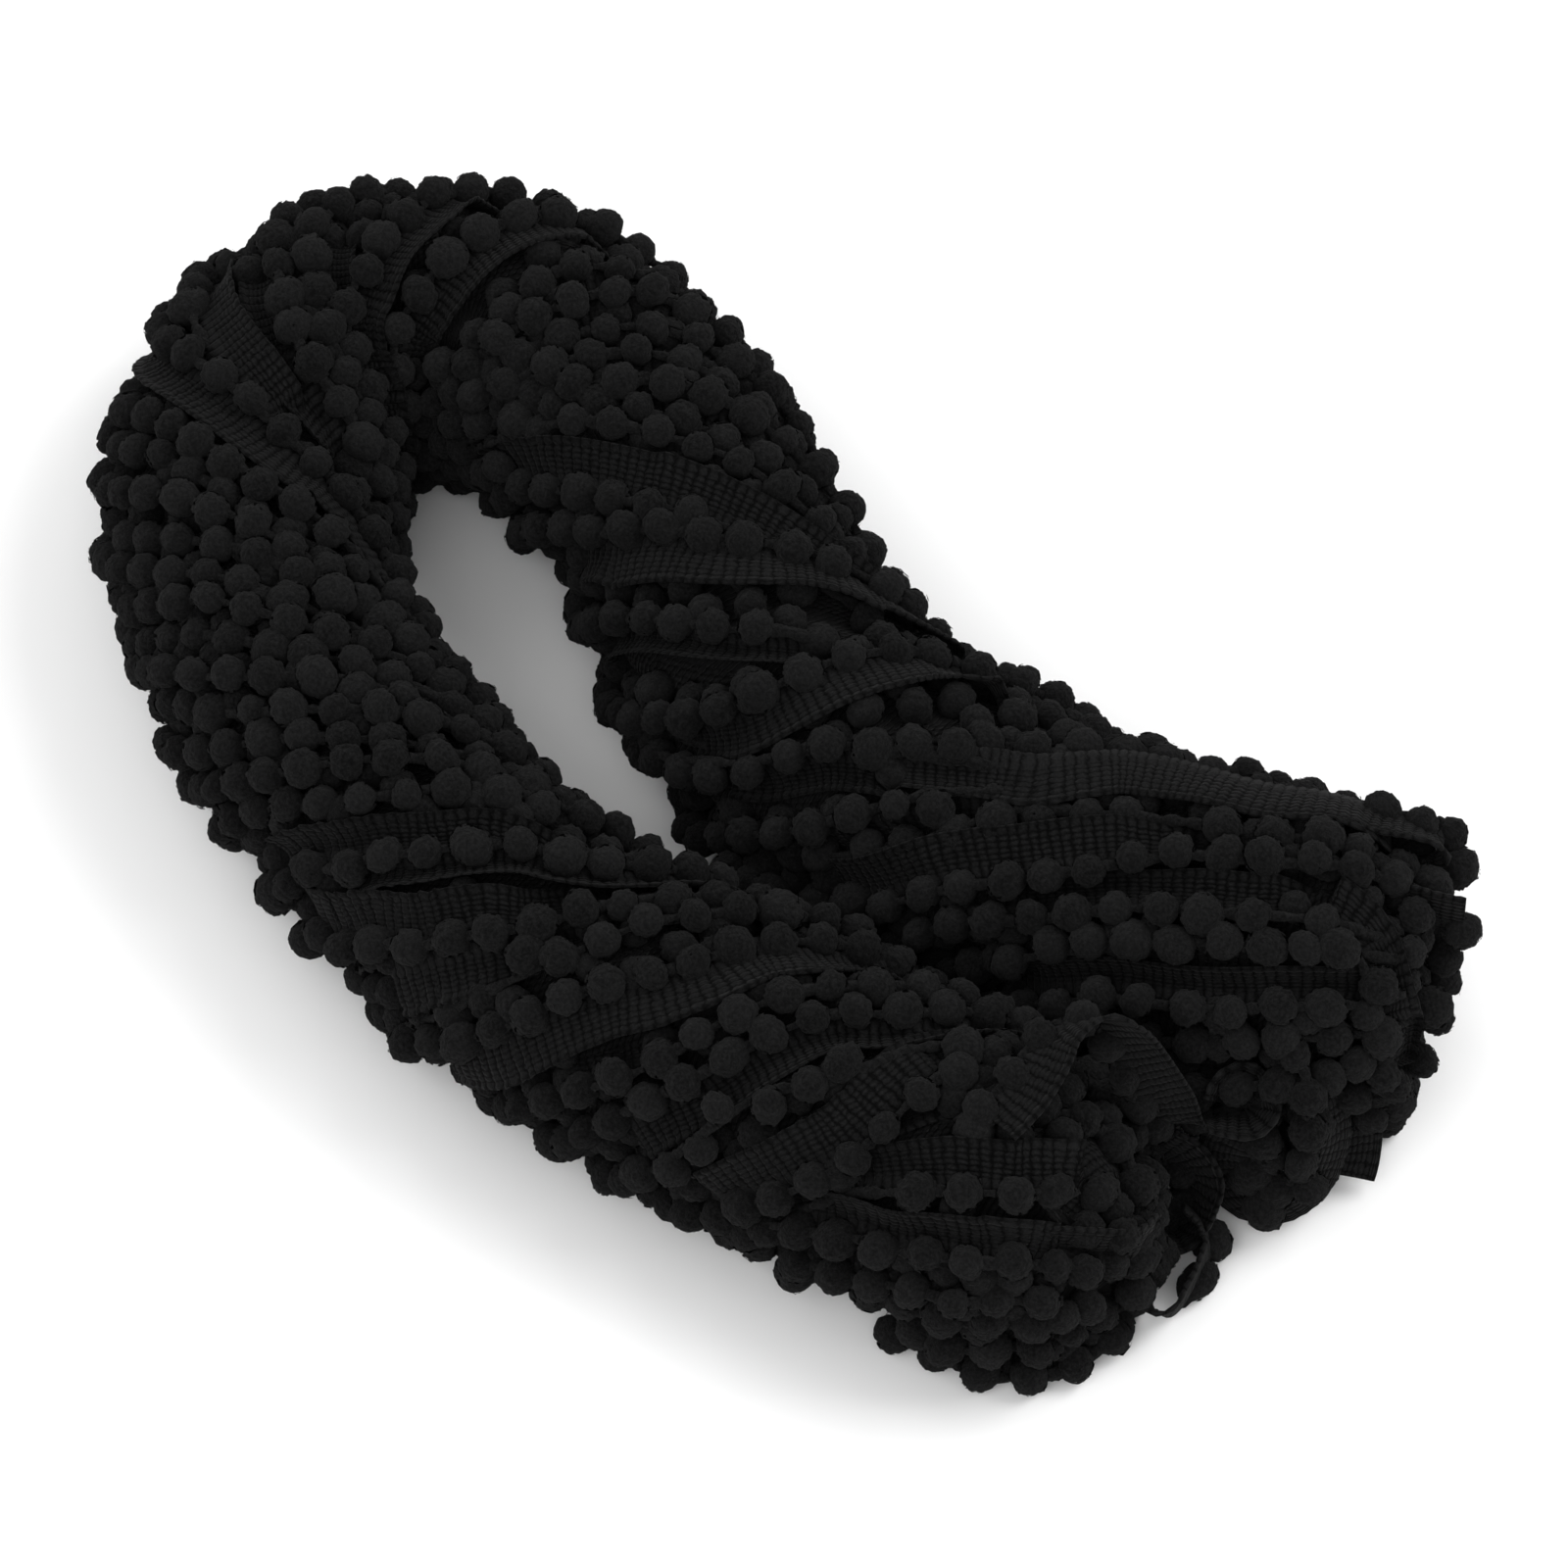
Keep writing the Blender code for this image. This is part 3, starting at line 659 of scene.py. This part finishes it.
DYED_FIBRE = dyed_fibre_group()
POMPOM_DYE = {"Dark": (0.0010, 0.0010, 0.0010, 1), "Light": (0.0120, 0.0120, 0.0122, 1),
              "Grain scale": 1050.0}
POMPOM_FINISH = {"Roughness": 0.95, "Specular IOR Level": 0.04, "Sheen Weight": 0.02,
                 "Sheen Roughness": 0.45}
POMPOM_RELIEF = 0.0011
FRAY = {"From Min": 0.38, "From Max": 0.88,     # 1 less the cosine of the angle
        "To Min": 0.8, "To Max": 1.55}          # height that the nap must reach there


def pompom_felt():
    """Cut yarn brushed to a felt, broken into tufts where it is seen edge-on: there alpha is
    1 only where the nap's height is above a limit that rises with the angle."""
    material, tree, shader = new_material("pompom felt")
    tone = node(tree, "ShaderNodeAttribute", attribute_name="tone").outputs["Fac"]
    fibre = node(tree, "ShaderNodeGroup", {"Tone and painted shade": tone, **POMPOM_DYE},
                 node_tree=DYED_FIBRE).outputs
    edge = node(tree, "ShaderNodeLayerWeight", {"Blend": 0.5}).outputs["Facing"]
    limit = node(tree, "ShaderNodeMapRange", {"Value": edge, **FRAY}).outputs[0]
    bump = node(tree, "ShaderNodeBump", {"Strength": 1.0, "Distance": POMPOM_RELIEF,
                                         "Height": fibre["Height"]})
    fill(tree, shader, {"Base Color": fibre["Color"], "Normal": bump.outputs["Normal"],
                        "Alpha": math_node(tree, "GREATER_THAN", fibre["Height"], limit),
                        **POMPOM_FINISH})
    return material


POMPOM_FELT = pompom_felt()


# The hank's three stretches: the near leg, the bend and the far leg. Each one is a tape, its
# pompoms and the thread that carries them.
STRETCHES = (           # name, from and to along the hank
    ("near_leg", -1000, 268),
    ("bend", 268, 548),
    ("far_leg", 548, 2000),
)
hank_parts = {}
for name, start, end in STRETCHES:
    inside = (planned[:, 7] >= start) & (planned[:, 7] < end) & ~buried
    piece = pompom_mesh(name + "_pompoms", middles[inside])
    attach(piece, "root")
    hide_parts("hank")
    hank_parts[name] = [piece]


# The pompoms of the turns underneath, which fill the gaps between the outer ones, at the
# looped ends too. They are tried at random: all over the skin, on its inner side where that
# shows through the bend, and on the far leg's outer side, which has fewer rows.
INNER_TRIES = (         # how many, from and to along, from and to round, depth, its stray
    (9000, (0, HANK_LENGTH), (-35, 215), 8.6, 0.7),
    (1500, (380, 640), (172, 235), 12.0, 0),
    (2500, (600, 806), (-85, 20), POMPOM_SINK + 1, 0),
)
CAP_PLACES = (3.0, 6.0, 9.0, 11.5, 13.5)    # mm past a looped end
CAP_TRIES = 160
CAP_DEEPEST = 8.0
INNER_GAP = 7.1             # how close one comes to an outer pompom
INNER_SPACING = 8.9
SET_POMPOMS = (             # in the far end's fold, in the coil and between the legs
    (168.0, 106.0, 67.0), (157.0, 95.0, 75.0), (177.0, 112.0, 65.0), (162.0, 104.0, 67.0),
    (183.0, 101.0, 52.0), (190.5, 30.5, 26.0), (188.0, 25.0, 19.0), (196.0, 24.0, 13.0),
    (198.0, 41.0, 38.0), (203.0, 34.0, 21.0), (31.0, -16.0, 35.0), (38.0, -15.0, 37.0),
    (45.0, -14.0, 37.0))


def skin_places(count, along, turn, depth, stray):
    """Places tried at random on a stretch of the skin."""
    along, turn = rng.uniform(*along, count), rng.uniform(*turn, count)
    if stray:
        depth = depth + rng.normal(0, stray, count)
    return hank_point(along, turn, depth)


def cap_places(place):
    """Places tried at random on the section past a looped end."""
    turn = rng.uniform(0, 360, CAP_TRIES)
    depth = POMPOM_SINK + rng.uniform(0, CAP_DEEPEST, CAP_TRIES)
    return hank_point(np.full(CAP_TRIES, place), turn, depth)


def inner_places():
    """Middles of the inner pompoms: the tried places that are clear of the outer pompoms,
    of the shown tapes and of those already kept."""
    tried = [skin_places(*INNER_TRIES[0])]
    tried += [cap_places(place) for past in CAP_PLACES for place in (-past, HANK_LENGTH + past)]
    tried += [skin_places(*where) for where in INNER_TRIES[1:]]
    tried = np.vstack(tried)
    shut = np.zeros(len(tried), bool)
    shut[near_pairs(tried, middles[~buried], INNER_GAP)[0]] = True
    shut[near_pairs(tried, guards, TAPE_CLEAR)[0]] = True
    tried = tried[~shut]
    tried[:, 2] = np.maximum(tried[:, 2], POMPOM_RADIUS)
    kept = np.array(SET_POMPOMS)
    for point in tried:
        if ((kept - point) ** 2).sum(1).min() > INNER_SPACING ** 2:
            kept = np.vstack([kept, point])
    return kept


piece = pompom_mesh("inner_pompoms", inner_places())
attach(piece, "root")
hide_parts("hank")


# The tape. A woven braid 15 mm wide: close crosswise ribs, four to a pompom, crossed by five
# lines of little bars, with open threads next to the pompoms and a corded plain edge.
RIB_PITCH = 2.95
BAR_PITCH = 1.55
OPEN_THREADS = 4.6          # width of the open threads next to the pompoms
WELT_RADIUS = 0.95
WELT_LINE = -0.05           # height of the line sunk beside the cord
TAPE_HALF = 0.52            # half the braid's thickness on a rib
GROOVE_HALF = 0.08
WELT_IN_GROOVE = 0.62       # how far the cord narrows between two ribs
# The dark and light ends of the braid's black dye. The weave's relief also moves its colour
# towards the dark end, as painted shade.
TAPE_DYE = {"Dark": (0.0013, 0.0013, 0.0013, 1), "Light": (0.0100, 0.0100, 0.0102, 1),
            "Grain scale": 1500.0}
TAPE_FINISH = {"Roughness": 0.85, "Specular IOR Level": 0.05, "Sheen Weight": 0.02,
               "Sheen Roughness": 0.4}
TAPE_RELIEF = 0.0006
STITCH_STRAY = 0.7          # how far the stitches wander, in ribs and bars
STRAY_SCALE = 420.0
# How deep the grooves between ribs and the lines between bars sink: in the bump, and in the
# painted shade that darkens them.
GROOVE_SHADE = 0.95
BAR_SHADE, LENS_SHADE = 0.6, 0.25   # in the middle of a rib, and what its edges add
OPEN_FADE = 0.6
# How far the weave's relief darkens the braid's colour: painted shade in its grooves and between
# its bars.
WEAVE_PAINTED_SHADE = 0.8
FIBRE_HEIGHT = 0.3
CORD_WEAVE = (13.6, 15.6)   # weave width over the cord
FINE_STEP = RIB_PITCH / 2


def tape_section(fine):
    """The tape's cross section as a closed ring: over the top from the pompom edge, round
    the cord and back underneath. Returns the width, the height on a rib and in a groove and
    the weave's own width of each point."""
    cord = np.radians((115, 60, 5, -50, -105) if fine else (70, -70))
    over = np.array((0, 2.6, 5.2, 7.4, 9.6, 11.6, 13.0) if fine else (0, 5, 10, 13.0))
    under = np.array((12.6, 6.5, 0) if fine else (12.6, 0))
    middle = TAPE_WIDTH - WELT_RADIUS
    width = np.r_[over, middle + WELT_RADIUS * np.cos(cord), under]
    top, welt, foot = over * 0, WELT_RADIUS * np.sin(cord), under * 0 - TAPE_HALF
    rib = np.r_[top + TAPE_HALF, welt, foot]
    groove = np.r_[top + GROOVE_HALF, WELT_IN_GROOVE * welt, foot]
    rib[len(over) - 1] = groove[len(over) - 1] = WELT_LINE
    weave = np.r_[over, np.linspace(*CORD_WEAVE, len(cord)), under]
    return width, rib, groove, weave


def strip(rings, side, *weave):
    """Points and triangles of a closed strip of rings, with a fan over each end, and its
    weave places from each ring's length and each side's width."""
    stations, sides = rings.shape[:2]
    i, j = np.meshgrid(np.arange(stations - 1), np.arange(sides), indexing="ij")
    a, b = (i * sides + j).ravel(), (i * sides + (j + 1) % sides).ravel()
    faces = np.vstack([np.stack([a, b, b + sides], 1), np.stack([a, b + sides, a + sides], 1)])
    k = np.arange(1, sides - 1)
    last = (stations - 1) * sides
    cap = np.stack([np.zeros(len(k), int), k + 1, k], 1)
    faces = np.vstack([faces, cap, cap[:, ::-1] + last])
    parts = [rings.reshape(-1, 3), faces if side > 0 else faces[:, ::-1]]
    if weave:
        places = np.stack(np.broadcast_arrays(weave[0][:, None], weave[1], 0.0), -1)
        parts.append(places.reshape(-1, 3))
    return parts


def tape_strip(one):
    """Points, triangles and weave places of one pass's tape."""
    fine = bool(one["tape"])
    at = tape_stations(one, FINE_STEP if fine else RIB_PITCH)
    width, rib, groove, weave = tape_section(fine)
    low = (np.arange(len(at["along"])) % 2 == 1)[:, None] & fine
    rings = tape_point(at, width[None], np.where(low, groove, rib))
    return strip(rings, one["side"], at["length"], weave)


def joined(strips):
    """Several strips as one set of points, faces and, where they have them, weave places."""
    points, faces, *places = zip(*strips)
    starts = np.cumsum([0] + [len(p) for p in points[:-1]])
    faces = np.vstack([f + s for f, s in zip(faces, starts)])
    return [np.vstack(points), faces] + [np.vstack(p) for p in places]


def braid_weave():
    """Matt woven braid. Measured in mm along and across the tape, each rib is a column of
    small lens-shaped stitches, one bar high and sunk at their edges; the open threads next
    to the pompoms have no bars. The same relief darkens the colour in the grooves and
    between the bars: painted shade."""
    material, tree, shader = new_material("woven braid")
    maths = functools.partial(math_node, tree)
    weave = node(tree, "ShaderNodeAttribute", attribute_name="weave").outputs["Vector"]
    length, width, _ = node(tree, "ShaderNodeSeparateXYZ", {0: weave}).outputs
    where = node(tree, "ShaderNodeTexCoord").outputs["Object"]
    stray = node(tree, "ShaderNodeTexNoise",
                 {"Vector": where, "Scale": STRAY_SCALE, "Detail": 2.0})
    shift = maths("MULTIPLY", maths("SUBTRACT", stray.outputs["Fac"], 0.5), STITCH_STRAY)
    along = maths("ADD", maths("DIVIDE", length, RIB_PITCH), shift)
    across = maths("ADD", maths("DIVIDE", width, BAR_PITCH), shift)
    off_rib = maths("MULTIPLY", maths("PINGPONG", along, 0.5), 2.0)
    off_bar = maths("MULTIPLY", maths("PINGPONG", maths("ADD", across, 0.5), 0.5), 2.0)
    rib_square = maths("MULTIPLY", off_rib, off_rib)
    groove = maths("MULTIPLY", maths("MULTIPLY", rib_square, off_rib), GROOVE_SHADE)
    lens = maths("ADD", maths("MULTIPLY", rib_square, LENS_SHADE), BAR_SHADE)
    woven = node(tree, "ShaderNodeMapRange", {
        "Value": width, "From Min": OPEN_THREADS - OPEN_FADE,
        "From Max": OPEN_THREADS + OPEN_FADE})
    bar = maths("MULTIPLY", maths("MULTIPLY", maths("MULTIPLY", off_bar, off_bar), lens),
                woven.outputs[0])
    # The weave's relief, low in the grooves and between the bars. It sets the bump, and it darkens
    # the colour as painted shade, both as the fibre's tone and by the multiply below.
    rise = maths("MAXIMUM", maths("SUBTRACT", maths("SUBTRACT", 1.0, groove), bar), 0.0)
    fibre = node(tree, "ShaderNodeGroup", {"Tone and painted shade": rise, **TAPE_DYE},
                 node_tree=DYED_FIBRE).outputs
    # The dyed colour multiplied by the relief: painted shade in the grooves and between the bars.
    shade = node(tree, "ShaderNodeMix",
                 {"Factor": WEAVE_PAINTED_SHADE, "A": fibre["Color"], "B": rise},
                 data_type="RGBA", blend_type="MULTIPLY")
    height = maths("ADD", rise, maths("MULTIPLY", fibre["Height"], FIBRE_HEIGHT))
    bump = node(tree, "ShaderNodeBump", {"Strength": 1.0, "Distance": TAPE_RELIEF,
                                         "Height": height})
    fill(tree, shader, {"Base Color": shade.outputs["Result"],
                        "Normal": bump.outputs["Normal"], **TAPE_FINISH})
    return material


WOVEN_BRAID = braid_weave()


def weave_mesh(name, points, faces, places):
    """A mesh with its places on the weave kept at its points."""
    thing = add_mesh(name, points, faces, WOVEN_BRAID)
    store = thing.data.attributes.new("weave", "FLOAT_VECTOR", "POINT")
    store.data.foreach_set("vector", places.astype(np.float32).ravel())
    return thing


def passes_of(start, end):
    """The passes whose middle lies in a stretch of the hank."""
    return [one for one in passes if start <= np.median(one["line"][:, 0]) < end]


for name, start, end in STRETCHES:
    here = passes_of(start, end)
    piece = weave_mesh(name + "_tape", *joined([tape_strip(one) for one in here]))
    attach(piece, "root")
    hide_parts("hank")
    length = sum(one["line"][-1, 5] for one in here)
    hank_parts[name] = [piece, length * MM] + hank_parts[name]


# The thread. A soft chained yarn along the tape's edge, which each pompom is sewn to and
# which shows as a fuzzy nub between one pompom and the next.
THREAD_RADIUS = 1.7
THREAD_FATNESS = (0.55, 1.35)
THREAD_STEP = 3.1
THREAD_SIDES = 5
THREAD_UNDER = 0.5          # below the pompoms' middles
THREAD_DIVE = 4.5
THREAD_TONE = 0.4
THREAD_PAST = 0.4           # pitches that a loose stretch's thread runs past its pompoms


def thread_strip(points, out):
    """Points and triangles of a tube of a few sides along a line of points, fatter and
    thinner by turns."""
    ahead = unit(np.gradient(points, axis=0))
    side = unit(np.cross(ahead, out))
    up = np.cross(side, ahead)
    spin = np.linspace(0, 2 * math.pi, THREAD_SIDES, endpoint=False)
    radius = THREAD_RADIUS * rng.uniform(*THREAD_FATNESS, (len(points), 1, 1))
    rings = points[:, None] + radius * (side[:, None] * np.cos(spin)[None, :, None]
                                        + up[:, None] * np.sin(spin)[None, :, None])
    return strip(rings, 1)


def thread_mesh(name, strips):
    """Threads as one mesh of one even shade."""
    points, faces = joined(strips)
    return add_mesh(name, points, faces, POMPOM_FELT, np.full(len(points), THREAD_TONE))


def pass_thread(one):
    """The thread of one pass, just under its pompoms' middles."""
    line = one["line"]
    at = columns_at(np.arange(0, line[-1, 5], THREAD_STEP), line[:, 5], line)
    depth = at[:, 6] + THREAD_UNDER + THREAD_DIVE * dive_share(one, at[:, 1])
    out = hank_frame(at[:, 0], at[:, 1], depth)[2]
    return thread_strip(hank_point(at[:, 0], at[:, 1], depth), out)


for name, start, end in STRETCHES:
    piece = thread_mesh(name + "_thread", [pass_thread(one) for one in passes_of(start, end)])
    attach(piece, "root")
    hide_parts("hank")
    hank_parts[name].append(piece)


# The inner turns. Under the outer passes the hank is trim all the way through; what shows of
# it between the pompoms is more tape, deep in shadow.
INNER_DEPTH = 11.5
INNER_STEP = 4.0
INNER_SIDES = 72
INNER_RIDGES = 9
RIDGE_SWING = 0.8
INNER_WEAVE = 1.8           # weave mm for each mm along, as the strand runs aslant


def inner_turns():
    """A closed tube under the skin, ridged along the twist: its depth swings by a cosine
    of the angle plus the length along."""
    along = np.arange(-END_REACH, HANK_LENGTH + END_REACH, INNER_STEP)[:, None]
    turn = np.linspace(0, 360, INNER_SIDES, endpoint=False)[None]
    twist = turn + along * USUAL_SLOPE
    depth = INNER_DEPTH + RIDGE_SWING * np.cos(np.radians(twist * INNER_RIDGES))
    rings = hank_point(*np.broadcast_arrays(along, turn, depth))
    return strip(rings, -1, along[:, 0] * INNER_WEAVE,
                 (twist * INNER_RIDGES / 360 * TAPE_WIDTH) % TAPE_WIDTH)


piece = weave_mesh("inner_turns", *inner_turns())
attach(piece, "root")
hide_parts("hank")


# The loose stretches of trim: a cut end arched over the near leg, one turned down out of the
# far leg, a cut end hanging beside it, a slack loop on the surface, and five plies and loops
# of the hank's own end turns. The tape and its pompoms are the same as on the hank.
EDGE_STEP = 1.6
LOOSE_TRIM = (          # name, lies on, first and last pompom, whether it is the hank's own,
    # and rows of x, y, z of the tape's middle and the direction across to its pompom edge
    ("arch", "near_leg_tape", (0, 8), False, (
        (160, -40, 80, -0.95, 0, -0.25), (160, -31, 83), (158, -22, 86),
        (156, -14, 88, -0.85, 0.1, -0.5), (157, -7, 90, -0.65, 0.2, -0.72),
        (160, -1, 90, -0.42, 0.25, -0.86), (163, 2, 85, -0.5, -0.1, -0.8),
        (166, 4, 77, -0.6, -0.45, -0.6), (170, 6, 67, -0.63, -0.68, -0.37), (173, 9, 56),
        (175, 11, 47, -0.65, -0.55, -0.4), (178, 16, 43, -0.72, 0.05, -0.6),
        (184, 22, 43, -0.45, 0.77, -0.46), (188, 26, 43, -0.76, 0.48, -0.44),
        (188, 31, 45, -0.79, 0.09, -0.62), (184, 33, 48, -0.51, -0.12, -0.86),
        (179, 32, 50, -0.13, 0, -1), (177, 27, 49, 0.08, 0.36, -0.93),
        (178, 23, 46, -0.02, 0.7, -0.71))),
    ("curl", "far_leg_tape", (1, 11), False, (
        (178, 44, 54, 0, -0.62, 0.78), (187, 45, 56), (193, 45, 52, -0.1, -0.62, 0.76),
        (198, 44, 42, -0.2, -0.6, 0.75), (201, 42, 30, -0.2, -0.55, 0.75),
        (201, 36, 17, -0.2, -0.35, 0.9), (197, 29, 10, -0.05, -0.05, 1),
        (191, 24, 9.5, 0.3, 0.2, 0.95), (186, 22, 15, 0.65, 0.45, 0.6),
        (184, 21, 23, 0.7, 0.6, 0.3), (183, 22, 30, 0.7, 0.6, 0.2),
        (184, 25, 37, 0.7, 0.5, 0.1))),
    ("cut_end", "far_leg_tape", (2, 4), False, (
        (178, 57, 50, -0.35, -0.9, 0), (189, 59, 48, -0.4, -0.9, 0),
        (196, 58, 38, -0.45, -0.9, 0), (198, 56, 26), (200, 54, 14), (202, 50, 8.5))),
    ("slack_loop", "near_leg_tape", (3, 4), False, (
        (182, -18, 20, -0.3, 0.5, -0.8), (189, -17, 16), (195, -20, 14),
        (200, -19, 13, -0.25, 0.5, -0.8), (202, -15, 13, -0.28, 0.5, -0.8), (200, -7, 13),
        (197, 0, 13), (194, 5, 13), (189, 8, 15, -0.3, 0.5, -0.8), (183, 7, 18))),
    ("near_end_band", "near_leg_tape", (0, 4), True, (
        (182, -46, 56.5, -0.05, 0, -1), (187, -40, 54.5), (191, -34, 52), (195, -28, 49.5),
        (196, -23, 47), (195, -18, 44))),
    ("near_end_foot", "near_leg_tape", (0, 7), True, (
        (152, -64, 6, 0.05, -1, 0), (164, -60, 6, 0.2, -0.98, 0), (175, -56, 6, 0.5, -0.85, 0),
        (183, -49, 6, 0.8, -0.6, 0), (187, -40, 6.5, 0.97, -0.2, 0),
        (186, -28, 7.5, 0.97, 0.2, 0), (183, -18, 10, 0.8, 0.5, 0.1),
        (181, -8, 15, 0.6, 0.75, 0.2))),
    ("near_end_loop", "near_leg_tape", (1, 5), True, (
        (176, -10, 16, -0.7, 0.65, -0.31), (183, -3, 13), (187, 2, 12, -0.72, 0.5, -0.45),
        (187, 7, 13, -0.74, 0.1, -0.6), (185, 11, 17, -0.74, -0.13, -0.65),
        (183, 14, 23, -0.6, -0.2, -0.75), (178, 13, 30, -0.4, -0.24, -0.88), (172, 9, 35))),
    ("far_end_loop", "far_leg_tape", (1, 3), True, (
        (149, 93, 83, -0.34, 0.77, -0.53), (155, 96, 83), (161, 99, 82),
        (167, 103, 81.5, -0.36, 0.7, -0.6), (172, 106, 80, -0.42, 0.55, -0.7),
        (174, 108, 76, -0.42, 0.5, -0.72), (173, 107, 72, -0.42, 0.55, -0.7),
        (169, 102, 70, -0.42, 0.6, -0.65), (164, 96, 70, -0.34, 0.77, -0.53))),
    ("far_end_ply", "far_leg_tape", (1, 2), True, (
        (174, 86, 74, 0, 0, -1), (181, 91, 74), (185, 93, 74), (190, 96, 74), (193, 98, 74))),
)


def loose_frame(rows, step):
    """Middle, heading and across direction at even steps of a loose stretch. A row without
    an across direction keeps the one before."""
    full = [rows[0]]
    for one in rows[1:]:
        full.append(one + full[-1][len(one):])
    at = smooth_curve(full, step)
    ahead = unit(np.gradient(at[:, :3], axis=0))
    across = at[:, 3:]
    across = unit(across - ahead * (across * ahead).sum(1, keepdims=True))
    return at[:, :3], ahead, across


def loose_tape(rows):
    """Points, triangles and weave places of a loose tape, and its length: the section
    carried along the stretch, its top on the side of heading times across."""
    middle, ahead, across = loose_frame(rows, FINE_STEP)
    top = np.cross(ahead, across)
    width, rib, groove, weave = tape_section(True)
    low = (np.arange(len(middle)) % 2 == 1)[:, None]
    height = np.where(low, groove, rib)[..., None]
    rings = (middle[:, None] + across[:, None] * (TAPE_WIDTH / 2 - width)[None, :, None]
             + top[:, None] * height)
    length = path_length(middle)
    return strip(rings, 1, length, weave), length[-1]


for name, below, (first, last), of_hank, rows in LOOSE_TRIM:
    tape_parts, length = loose_tape(rows)
    tape = weave_mesh(name + "_braid", *tape_parts)
    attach(tape, "root")
    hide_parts("hank" if of_hank else name + "_tape")
    middle, ahead, across = loose_frame(rows, EDGE_STEP)
    edge = middle + across * TAPE_WIDTH / 2
    along = path_length(edge)
    spots = even_rows(along, edge, POMPOM_PITCH)
    balls = pompom_mesh(name + "_balls", spots[first:last + 1])
    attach(balls, "root")
    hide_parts("hank" if of_hank else name + "_pompoms")
    share = np.linspace(0, len(spots) - 1, len(edge))
    carried = (share > first - THREAD_PAST) & (share < last + THREAD_PAST)
    at = np.arange(along[carried][0], along[carried][-1], THREAD_STEP)
    line = columns_at(at, along, edge + across * THREAD_UNDER)
    out = columns_at(at, along, np.cross(ahead, across))
    thread = thread_mesh(name + "_thread", [thread_strip(line, out)])
    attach(thread, "root")
    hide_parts("hank" if of_hank else name + "_pompoms")


# The floor, the studio light and the camera, which looks down on the hank from the side of
# its looped ends, from so far off that the view is nearly parallel.
FLOOR_SIZE = 6.0
FLOOR_FINISH = {"Base Color": (0.86, 0.86, 0.86, 1), "Roughness": 0.9,
                "Specular IOR Level": 0.1}
CAMERA_TARGET = np.array((0.023, 0.012, 0.040))
CAMERA_ROUND = 47.0         # degrees
CAMERA_UP = 55.0
CAMERA_AWAY = 3.0
FOCAL_PIXELS = 11400.0
PICTURE_SIDE = 1600
SENSOR = 36.0


def look_at(thing, place, target):
    """Set a camera or light down and turn its -Z towards a target."""
    thing.location = place
    way = Vector(target) - Vector(place)
    thing.rotation_euler = way.to_track_quat("-Z", "Y").to_euler()


floor_mesh = bpy.data.meshes.new("floor")
half = FLOOR_SIZE / 2
floor_mesh.from_pydata([(-half, -half, 0), (half, -half, 0), (half, half, 0), (-half, half, 0)],
                       [], [(0, 1, 2, 3)])
floor_material, floor_tree, floor_shader = new_material("pale floor")
fill(floor_tree, floor_shader, FLOOR_FINISH)
floor_mesh.materials.append(floor_material)
floor = bpy.data.objects.new("floor", floor_mesh)
bpy.context.scene.collection.objects.link(floor)

LIGHTS = (              # name, place, side, watts
    ("key", (1.2, 1.6, 2.6), 1.8, 60.0),
    ("front", (0.9, -1.8, 2.0), 2.2, 38.0),
    ("left", (-2.2, -0.4, 1.8), 2.0, 22.0),
)
LIGHTS_AIM = (0, 0, 0.03)
SKY = {"Color": (1, 1, 1, 1), "Strength": 0.75}
for name, place, side, watts in LIGHTS:
    lamp = bpy.data.lights.new(name, "AREA")
    lamp.shape = "SQUARE"
    lamp.size = side
    lamp.energy = watts
    thing = bpy.data.objects.new(name, lamp)
    bpy.context.scene.collection.objects.link(thing)
    look_at(thing, place, LIGHTS_AIM)

world = bpy.data.worlds.new("studio")
world.use_nodes = True
fill(world.node_tree, world.node_tree.nodes["Background"], SKY)
bpy.context.scene.world = world
bpy.context.scene.view_settings.view_transform = "Standard"

camera_data = bpy.data.cameras.new("camera")
camera_data.sensor_width = SENSOR
camera_data.lens = FOCAL_PIXELS / PICTURE_SIDE * SENSOR
camera = bpy.data.objects.new("camera", camera_data)
bpy.context.scene.collection.objects.link(camera)
bpy.context.scene.camera = camera
az, up = math.radians(CAMERA_ROUND), math.radians(CAMERA_UP)
back = np.array((math.sin(az) * math.cos(up), -math.cos(az) * math.cos(up), math.sin(up)))
look_at(camera, CAMERA_TARGET + back * CAMERA_AWAY, CAMERA_TARGET)
